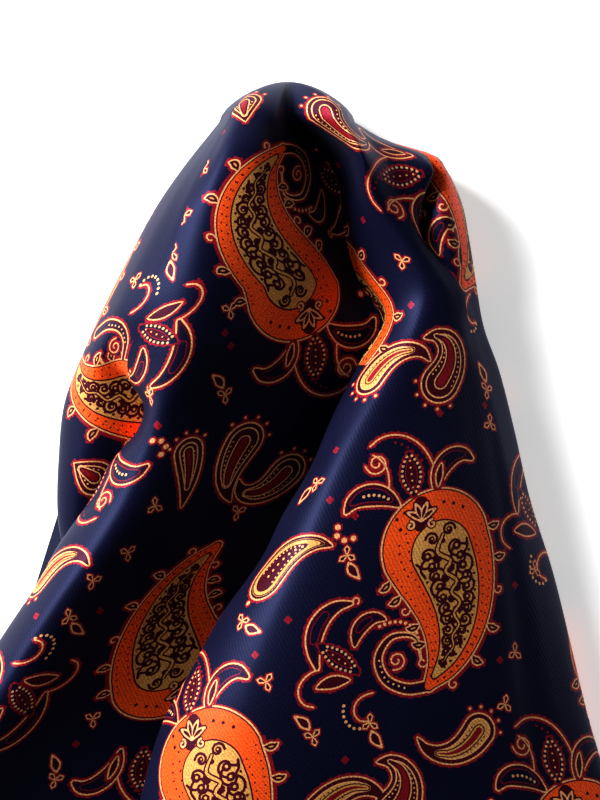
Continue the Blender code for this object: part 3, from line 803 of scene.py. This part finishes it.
class Window:
    """A stretch of a cloth, laid flat, on which drawings are placed at their true size."""

    def __init__(self, cloth, rows, columns, flat=None):
        self.first = rows.start, columns.start
        self.flat = laid_flat(cloth.grid[rows, columns]) if flat is None else flat
        self.points = np.pad(self.flat.reshape(-1, 2), ((0, 0), (0, 1)))
        self.chart_points = cloth.chart[rows, columns].reshape(-1, 2)
        self.triangles = grid_triangles(*self.flat.shape[:2])
        self.tree = BVHTree.FromPolygons(self.points.tolist(), self.triangles.tolist())

    def place(self, spot):
        """Give the flat place of a fractional row and column of the cloth."""
        row, column = (np.array(value - start) for value, start in zip(spot, self.first))
        return blended(self.flat, row, column)

    def charted(self, outline):
        """Carry an outline from the flat stretch to the cloth's chart."""
        found = [self.tree.find_nearest((x, y, 0)) for x, y in outline]
        index = [hit[2] for hit in found]
        places = np.array([tuple(hit[0]) for hit in found])
        share = shares(self.points, self.triangles, index, places)[..., None]
        return (self.chart_points[self.triangles[index]] * share).sum(1)


# The least number of cells that a window has each way
LEAST_CELLS = 3


def window_at(cloth, limits, spot, reach):
    """Open a window round a spot, within the rows and columns of its patch."""
    rows, columns = limits
    home = blended(cloth.grid, *(np.array(value) for value in spot))
    away = np.linalg.norm(cloth.grid[rows, columns] - home, axis=2)
    row, column = np.unravel_index(away.argmin(), away.shape)
    home = cloth.grid[rows, columns][row, column]
    near = np.linalg.norm(cloth.grid[rows, columns] - home, axis=2) < reach
    i, j = np.flatnonzero(near.any(axis=1)), np.flatnonzero(near.any(axis=0))
    top, side = (min(index[0], count - LEAST_CELLS - 1) for index, count in zip((i, j), near.shape))
    high, wide = max(i[-1], top + LEAST_CELLS), max(j[-1], side + LEAST_CELLS)
    return Window(cloth, slice(rows.start + top, rows.start + high + 1),
                  slice(columns.start + side, columns.start + wide + 1))


def drawn(kind):
    """Draw one motif about its own middle, as a list of level, ink and outline."""
    art = []
    if kind in SMALL_DROPS:
        small_drop(art, *SMALL_DROPS[kind])
    for draw in DRAWINGS.get(kind, ()):
        draw(art)
    return [item for item in art if item[2] is not None and len(item[2]) > 2]


def bowed(outline):
    """Curve an outline more fully, as a drop looks on stretched cloth."""
    along = np.clip(1 - ((outline[:, 1] + DROP_HALF) / DROP_HALF) ** 2, 0, 1)
    return outline + np.stack([BOW * along, 0 * along], axis=1)


def patch_limits(cloth, columns, ys, patch):
    """Give the rows and columns of a patch of the front."""
    left, right, low, high = PATCHES[patch]
    j0 = 0 if left == "left_edge" else columns[left]
    j1 = cloth.grid.shape[1] - 1 if right == "right_edge" else columns[right]
    i0, i1 = np.searchsorted(ys, low), min(np.searchsorted(ys, high), len(ys) - 1)
    return slice(int(i0), int(i1) + 1), slice(int(j0), int(j1) + 1)


def border(grid):
    """Give the points round a grid's edge."""
    return np.vstack([grid[0, :-1], grid[:-1, -1], grid[-1, :0:-1], grid[:0:-1, 0]])


def inside(outline, points):
    """Tell which points an outline winds round."""
    x, y = points[:, :1], points[:, 1:]
    (x0, y0), (x1, y1) = outline.T, np.roll(outline, -1, axis=0).T
    left = (x1 - x0) * (y - y0) - (x - x0) * (y1 - y0)
    rising = (y0 <= y) & (y1 > y) & (left > 0)
    falling = (y0 > y) & (y1 <= y) & (left < 0)
    return rising.sum(axis=1) != falling.sum(axis=1)


# Points of the chart that lie closer together than this are one point
WELD = 1e-5


def print_on(cloth, art):
    """Cut the chart along the print's outlines. Gives points, triangles and their inks."""
    points, edges = [cloth.chart[1:-1, 1:-1].reshape(-1, 2)], []
    count = len(points[0])
    for outline in [border(cloth.chart)] + [item[2] for item in art]:
        points.append(outline)
        last = count + len(outline) - 1
        edges += [(k, k + 1) for k in range(count, last)] + [(last, count)]
        count = last + 1
    points = [Vector(p) for p in np.vstack(points)]
    made, _, triangles, _, _, _ = delaunay_2d_cdt(points, edges, [], 0, WELD, False)
    made, triangles = np.array([tuple(p) for p in made]), np.array(triangles)
    middles = made[triangles].mean(axis=1)
    order = np.argsort(middles[:, 0])
    triangles, middles = triangles[order], middles[order]
    inks = np.full(len(triangles), NAVY)
    for _, ink, outline in sorted(art, key=lambda item: item[0]):
        low, high = outline.min(axis=0), outline.max(axis=0)
        first, last = np.searchsorted(middles[:, 0], (low[0], high[0]))
        near = first + np.flatnonzero((middles[first:last, 1] > low[1])
                                      & (middles[first:last, 1] < high[1]))
        inks[near[inside(outline, middles[near])]] = ink
    return made, triangles, inks


# The narrowest outline that is printed, and half the step on which a turn is measured
LEAST_OUTLINE = 0.1
TURN_STEP = 1.5


def charted_art(window, kind, hold, place, up):
    """Place one drawing on a window, with its top towards up, and carry it to the chart."""
    right = np.array((up[1], -up[0]))
    art = []
    for level, ink, outline in drawn(kind):
        moved = (bowed(outline) if kind == "bowed_whole" else outline) - np.array(hold)
        moved = window.charted(place + moved[:, :1] * right + moved[:, 1:] * up)
        if np.ptp(moved, axis=0).min() > LEAST_OUTLINE:
            art.append((level, ink, moved))
    return art


def front_art(cloth, limits):
    """Lay every motif of the front out on the cloth, at its place in the view."""
    scattered = [(kind, "own", *row, patch) for (kind, patch), rows in SCATTERED.items()
                 for row in rows]
    art = []
    for kind, anchor, x, y, turn, patch in PLACES + scattered:
        spot = cloth.seen(x, y)
        window = window_at(cloth, limits[patch], spot, REACH[kind])
        angle = math.radians(turn)
        way = TURN_STEP * math.sin(angle), TURN_STEP * math.cos(angle)
        ahead = window.place(cloth.seen(x + way[0], y + way[1]))
        behind = window.place(cloth.seen(x - way[0], y - way[1]))
        up = (ahead - behind) / max(np.linalg.norm(ahead - behind), 1e-9)
        art += charted_art(window, kind, ANCHORS[anchor], window.place(spot), up)
    return art


def to_part(points):
    """Move points from the drawing's frame to the part's, in metres."""
    return (np.asarray(points) - CENTRE) * MM


def linked(name, data):
    """Add an object to the scene."""
    made = bpy.data.objects.new(name, data)
    bpy.context.collection.objects.link(made)
    return made


def add_mesh(name, points, faces, material):
    """Add a smooth mesh in the part's frame, riding on the part's one body."""
    mesh = bpy.data.meshes.new(name)
    mesh.from_pydata(to_part(points).tolist(), [], [list(face) for face in faces])
    mesh.materials.append(material)
    mesh.shade_smooth()
    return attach(linked(name, mesh), "root")


def printed_piece(name, cloth, art, material):
    """Make a piece of cloth with its print cut into its surface."""
    chart, triangles, inks = print_on(cloth, art)
    used, triangles = np.unique(triangles, return_inverse=True)
    triangles = triangles.reshape(-1, 3)
    chart = chart[used]
    rows, columns = cloth.spots(chart)
    piece = add_mesh(name, blended(cloth.grid, rows, columns), triangles, material)
    mesh = piece.data
    colours = np.pad(np.array(INKS, np.float32), ((0, 0), (0, 1)), constant_values=1)[inks]
    attribute = mesh.attributes.new("ink", "FLOAT_COLOR", "CORNER")
    attribute.data.foreach_set("color", np.repeat(colours, 3, axis=0).ravel())
    place = mesh.attributes.new("cloth_mm", "FLOAT_VECTOR", "POINT")
    flat = np.pad(blended(cloth.flat, rows, columns), ((0, 0), (0, 1)))
    place.data.foreach_set("vector", flat.astype(np.float32).ravel())
    bake = mesh.uv_layers.new(name="OFBake")
    corners = (chart / chart.max())[triangles.ravel()]
    bake.data.foreach_set("uv", corners.astype(np.float32).ravel())
    mesh.normals_split_custom_set_from_vertices(blended(cloth.normals, rows, columns).tolist())
    return piece


def node(tree, kind, inputs=None, **settings):
    """Add a shader node, set its settings and link or set its inputs."""
    made = tree.nodes.new(kind)
    for name, value in settings.items():
        setattr(made, name, value)
    for name, value in (inputs or {}).items():
        if isinstance(value, bpy.types.NodeSocket):
            tree.links.new(value, made.inputs[name])
        else:
            made.inputs[name].default_value = value
    return made


# The silk's ribs, its change of tone over the cloth and its grain: scale, and darkest and brightest
RIB_SCALE = 0.75
RIB_TONES = (0.84, 1.14)
DRIFT_SCALE = 0.09
DRIFT_TONES = (0.9, 1.08)
GRAIN_SCALE = 2.9
GRAIN_TONES = (0.55, 1.5)
NOISE_RANGE = (0.3, 0.7)
RIB_BUMP = 0.12
RIB_HEIGHT = 0.00012
SILK = {"Metallic": 0.12, "Roughness": 0.52, "Specular IOR Level": 0.2,
        "Specular Tint": (0.36, 0.46, 1.0, 1), "Sheen Weight": 0.02, "Sheen Roughness": 0.4}


def toned(tree, value, tones, source=(0.0, 1.0)):
    """Turn a texture's value into a brightness between two tones."""
    return node(tree, "ShaderNodeMapRange", {
        "Value": value, "From Min": source[0], "From Max": source[1],
        "To Min": tones[0], "To Max": tones[1]}).outputs[0]


def new_material(name, settings):
    """Start a material. Gives it, its node tree and its shader with the settings made."""
    material = bpy.data.materials.new(name)
    material.use_nodes = True
    shader = material.node_tree.nodes["Principled BSDF"]
    for socket, value in settings.items():
        shader.inputs[socket].default_value = value
    return material, material.node_tree, shader


def silk_material(name, printed):
    """Make printed silk twill: fine slanting ribs, a soft sheen and a faint change of tone."""
    material, tree, shader = new_material(name, SILK)
    if printed:
        place = node(tree, "ShaderNodeAttribute", attribute_name="cloth_mm").outputs["Vector"]
        colour = node(tree, "ShaderNodeAttribute", attribute_name="ink").outputs["Color"]
    else:
        place = node(tree, "ShaderNodeTexCoord").outputs["Object"]
        place = node(tree, "ShaderNodeVectorMath", {0: place, "Scale": 1 / MM},
                     operation="SCALE").outputs["Vector"]
        colour = node(tree, "ShaderNodeRGB").outputs[0]
        colour.default_value = (*INKS[NAVY], 1)
    ribs = node(tree, "ShaderNodeTexWave", {"Vector": place, "Scale": RIB_SCALE, "Distortion": 0.6,
                                            "Detail": 1.0, "Detail Scale": 3.0},
                wave_type="BANDS", bands_direction="DIAGONAL").outputs["Fac"]
    drift = node(tree, "ShaderNodeTexNoise", {"Vector": place, "Scale": DRIFT_SCALE, "Detail": 3.0})
    grain = node(tree, "ShaderNodeTexNoise", {"Vector": place, "Scale": GRAIN_SCALE, "Detail": 2.0})
    gain = toned(tree, drift.outputs["Fac"], DRIFT_TONES, NOISE_RANGE)
    for tone in (toned(tree, ribs, RIB_TONES), toned(tree, grain.outputs["Fac"], GRAIN_TONES, NOISE_RANGE)):
        gain = node(tree, "ShaderNodeMath", {0: gain, 1: tone}, operation="MULTIPLY").outputs[0]
    base = node(tree, "ShaderNodeVectorMath", {0: colour, "Scale": gain}, operation="SCALE")
    bump = node(tree, "ShaderNodeBump", {"Height": ribs, "Strength": RIB_BUMP, "Distance": RIB_HEIGHT})
    tree.links.new(base.outputs["Vector"], shader.inputs["Base Color"])
    tree.links.new(bump.outputs["Normal"], shader.inputs["Normal"])
    return material


def whole_window(cloth):
    """Open a window on a whole cloth."""
    rows, columns = (slice(0, count) for count in cloth.grid.shape[:2])
    return Window(cloth, rows, columns, cloth.flat)


# Points across the underside
BACK_COLUMNS = 60


def back_cloth(front):
    """Make the flat underside between the two feet of the front."""
    left, right = front[:, :1], front[:, -1:]
    grid = right + (left - right) * np.linspace(0, 1, BACK_COLUMNS)[None, :, None]
    return Cloth(grid, grid[..., :2] * np.array((-1, 1)))


# The repeat: the large motif stands in columns, each set half a repeat lower than the last
REPEAT = 84.0
COLUMN = 52.0
LATTICE_MARGIN = 10.0
REPEATED = [("whole", 0, 0, 0), ("slim", -10, 38, 18), ("round", 4, 36, 0), ("slim", 10, -38, 190),
            ("trefoil", -14, 6, 0), ("dot", 19, -8, 0)]


def lattice_art(cloth):
    """Fill a whole cloth with the repeat."""
    window = whole_window(cloth)
    low, high = cloth.flat.reshape(-1, 2).min(axis=0), cloth.flat.reshape(-1, 2).max(axis=0)
    art = []
    for column in range(math.floor(low[0] / COLUMN), math.ceil(high[0] / COLUMN) + 1):
        for row in range(math.floor(low[1] / REPEAT) - 1, math.ceil(high[1] / REPEAT) + 1):
            for kind, dx, dy, turn in REPEATED:
                place = np.array((column * COLUMN + dx, (row + column % 2 / 2) * REPEAT + dy))
                if (place < low - LATTICE_MARGIN).any() or (place > high + LATTICE_MARGIN).any():
                    continue
                angle = math.radians(turn)
                up = np.array((math.sin(angle), math.cos(angle)))
                art += charted_art(window, kind, ANCHORS["own"], place, up)
    return art


# The direction that a tube's rings are set out from, tilted a little from straight towards the hem
RING_GUIDE = (0.0, -1.0, 0.001)


def tube(path, radius, sides, closed):
    """Make a round tube along a path, as points and faces."""
    path = np.asarray(path, float)
    way = np.roll(path, -1, axis=0) - np.roll(path, 1, axis=0)
    if not closed:
        way[0], way[-1] = path[1] - path[0], path[-1] - path[-2]
    way /= np.linalg.norm(way, axis=1, keepdims=True)
    across_way = np.cross(way, RING_GUIDE)
    across_way /= np.linalg.norm(across_way, axis=1, keepdims=True)
    up = np.cross(across_way, way)
    turns = 2 * np.pi * np.arange(sides) / sides
    ring = np.cos(turns)[None, :, None] * across_way[:, None] + np.sin(turns)[None, :, None] * up[:, None]
    points = (path[:, None] + radius * ring).reshape(-1, 3)
    count = len(path)
    faces = []
    for i in range(count if closed else count - 1):
        for k in range(sides):
            a, b = i * sides + k, i * sides + (k + 1) % sides
            c, d = ((i + 1) % count) * sides + (k + 1) % sides, ((i + 1) % count) * sides + k
            faces.append((a, d, c, b))
    return points, faces


def evenly(path, spacing):
    """Space a closed path's points evenly."""
    closed = np.vstack([path, path[:1]])
    length = np.concatenate([[0], np.cumsum(np.linalg.norm(np.diff(closed, axis=0), axis=1))])
    count = int(length[-1] / spacing)
    marks = np.arange(count) * length[-1] / count
    return np.stack([np.interp(marks, length, closed[:, axis]) for axis in range(3)], axis=1)


# The roll, and a stitch over it: its path is along the edge in mm, and up it in the roll's radius
HEM_STEP = 1.2
HEM_SIDES = 10
STITCH_SPACING = 4.5
STITCH_RADIUS = 0.14
STITCH_SIDES = 5
STITCH_RISE = 1.06
STITCH_PATH = [(0, -0.5), (0.5, 0.1), (1.0, 0.8)]


def hem_pieces(front, back, material):
    """Make the rolled edge round the open end, and its small slanting stitches."""
    loop = np.vstack([front[0], back[0][1:-1]])
    loop[:, 1] -= HEM_RADIUS
    loop[:, 2] = np.maximum(loop[:, 2], HEM_RADIUS)
    path = evenly(loop, HEM_STEP)
    hem = add_mesh("rolled_edge", *tube(path, HEM_RADIUS, HEM_SIDES, True), material)
    points, faces, count = [], [], 0
    marks = evenly(loop, STITCH_SPACING)
    for a, b in zip(marks, np.roll(marks, -1, axis=0)):
        way = (b - a) / np.linalg.norm(b - a)
        stitch = [a + way * along + HEM_RADIUS * np.array((0, slant, STITCH_RISE))
                  for along, slant in STITCH_PATH]
        made, sides = tube(stitch, STITCH_RADIUS, STITCH_SIDES, False)
        points.append(made)
        faces += [[index + count for index in side] for side in sides]
        count += len(made)
    stitches = add_mesh("hem_stitches", np.vstack(points), faces, material)
    return hem, stitches


# The folds inside the open end: rows from the edge inwards, and how each layer differs from the last
INNER_LAYERS = 4
INNER_ROWS = (-95.0, -40.0, 3.0)
INNER_ROW_SHIFT = 1.4
INNER_COLUMNS = 56
INNER_CLEARANCE = 1.3
INNER_INSET = 5.0
INNER_INSET_STEP = 1.5
INNER_REACH = 2.2
NO_ROOF = 99.0
# Their lie: the lowest height and its step, the least headroom, and waves in height and along y
INNER_LOWEST = 0.5
INNER_LOWEST_STEP = 0.5
LEAST_HEADROOM = 0.6
INNER_WAVES = [(0.21, 1.9, 1.0), (0.43, 1.0, 0.5)]
EDGE_WAVE_PACE = 0.12
EDGE_WAVE_SIZE = 0.5


def lowest(x, z, marks):
    """Give how low a folded line runs over each mark."""
    near = np.abs(x[None, :] - marks[:, None]) < INNER_REACH
    return np.where(near, z[None, :], NO_ROOF).min(axis=1)


def inner_layers(front, ys):
    """Make the cloth folded inside the open end, as waving sheets that lie over each other."""
    made = []
    for layer in range(INNER_LAYERS):
        share = (layer + 1) / (INNER_LAYERS + 1)
        rows = []
        for y in np.arange(*INNER_ROWS) + INNER_ROW_SHIFT * layer:
            line = front[np.searchsorted(ys, y)]
            inset = INNER_INSET + INNER_INSET_STEP * layer
            x = np.linspace(line[:, 0].min() + inset, line[:, 0].max() - inset, INNER_COLUMNS)
            roof = lowest(line[:, 0], line[:, 2], x) - INNER_CLEARANCE
            wave = sum(size * np.sin(x * pace + layer * turn) for pace, turn, size in INNER_WAVES)
            height = np.clip(share * (roof + wave), INNER_LOWEST + INNER_LOWEST_STEP * layer,
                             np.maximum(roof, LEAST_HEADROOM))
            bend = max(0.0, (FRAME_END - y) / (FRAME_END - HEM_END)) * (hem_y(x) - HEM_END)
            sway = EDGE_WAVE_SIZE * np.sin(x * EDGE_WAVE_PACE + layer)
            rows.append(np.stack([x, y + bend + sway, height], axis=1))
        made.append((f"inner_fold_{layer + 1}", Cloth(np.array(rows))))
    return made


# The floor: half its side in metres, its paleness, roughness and glow
FLOOR_HALF = 2.0
FLOOR_TONES = (0.90, 0.94)
FLOOR = {"Roughness": 0.9, "Emission Color": (1, 1, 1, 1), "Emission Strength": 0.42}
# The light: the sky's colour and strength, and the lamp's place, size and power
SKY = (0.9, 0.95, 1.0, 1)
SKY_STRENGTH = 0.13
LAMP_PLACE = (-0.74, 0.50, 0.50)
LAMP_SIZE = 0.42
LAMP_POWER = 26.0


def add_floor():
    """Add the pale floor that the puff lies on."""
    material, tree, shader = new_material("pale_floor", FLOOR)
    place = node(tree, "ShaderNodeTexCoord").outputs["Object"]
    noise = node(tree, "ShaderNodeTexNoise", {"Vector": place, "Scale": 3.0, "Detail": 2.0})
    tree.links.new(toned(tree, noise.outputs["Fac"], FLOOR_TONES), shader.inputs["Base Color"])
    mesh = bpy.data.meshes.new("floor")
    corners = [(-1, -1), (1, -1), (1, 1), (-1, 1)]
    mesh.from_pydata([(FLOOR_HALF * x, FLOOR_HALF * y, -FLOOR_DROP * MM) for x, y in corners],
                     [], [(0, 1, 2, 3)])
    mesh.materials.append(material)
    linked("floor", mesh)


def add_lights():
    """Add the soft sky and one soft square lamp that faces the part."""
    world = bpy.data.worlds.new("studio")
    world.use_nodes = True
    world.node_tree.nodes["Background"].inputs[0].default_value = SKY
    world.node_tree.nodes["Background"].inputs[1].default_value = SKY_STRENGTH
    bpy.context.scene.world = world
    lamp = bpy.data.lights.new("key", "AREA")
    lamp.size = LAMP_SIZE
    lamp.energy = LAMP_POWER
    seat = linked("key", lamp)
    seat.location = LAMP_PLACE
    seat.rotation_euler = (-Vector(LAMP_PLACE)).to_track_quat("-Z", "Y").to_euler()


def add_camera():
    """Add the camera, straight above the part, and the picture's tone curve."""
    camera = bpy.data.cameras.new("camera")
    camera.sensor_width = SENSOR
    camera.lens = SENSOR * (CAMERA_HEIGHT - VIEW_LEVEL) / VIEW_LENGTH
    seat = linked("camera", camera)
    seat.location = to_part((0, 0, CAMERA_HEIGHT))
    bpy.context.scene.camera = seat
    bpy.context.scene.view_settings.view_transform = "Standard"
    bpy.context.scene.view_settings.look = "Medium High Contrast"


def main():
    """Build the cloth, print it and set the stage."""
    add_floor()
    add_lights()
    add_camera()
    grid, columns, ys = front_grid()
    front = Cloth(grid)
    limits = {patch: patch_limits(front, columns, ys, patch) for patch in PATCHES}
    silk = silk_material("printed_silk", True)
    hem_silk = silk_material("hem_silk", False)
    face = printed_piece("front_cloth", front, front_art(front, limits), silk)
    under = back_cloth(grid)
    back = printed_piece("back_cloth", under, lattice_art(under), silk)
    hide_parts("outer_cloth")
    hem, stitches = hem_pieces(grid, under.grid, hem_silk)
    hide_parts("rolled_hem")
    inner, below = [], back.name
    for name, cloth in inner_layers(grid, ys):
        inner.append(printed_piece(name, cloth, [], silk))
        below = name
    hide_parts("folded_layers")


LOW, HIGH = (np.array(corner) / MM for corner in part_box("outer_cloth"))
CENTRE = np.array((LEFTMOST - LOW[0], CROWN_TIP - HIGH[1], 0.0))
main()
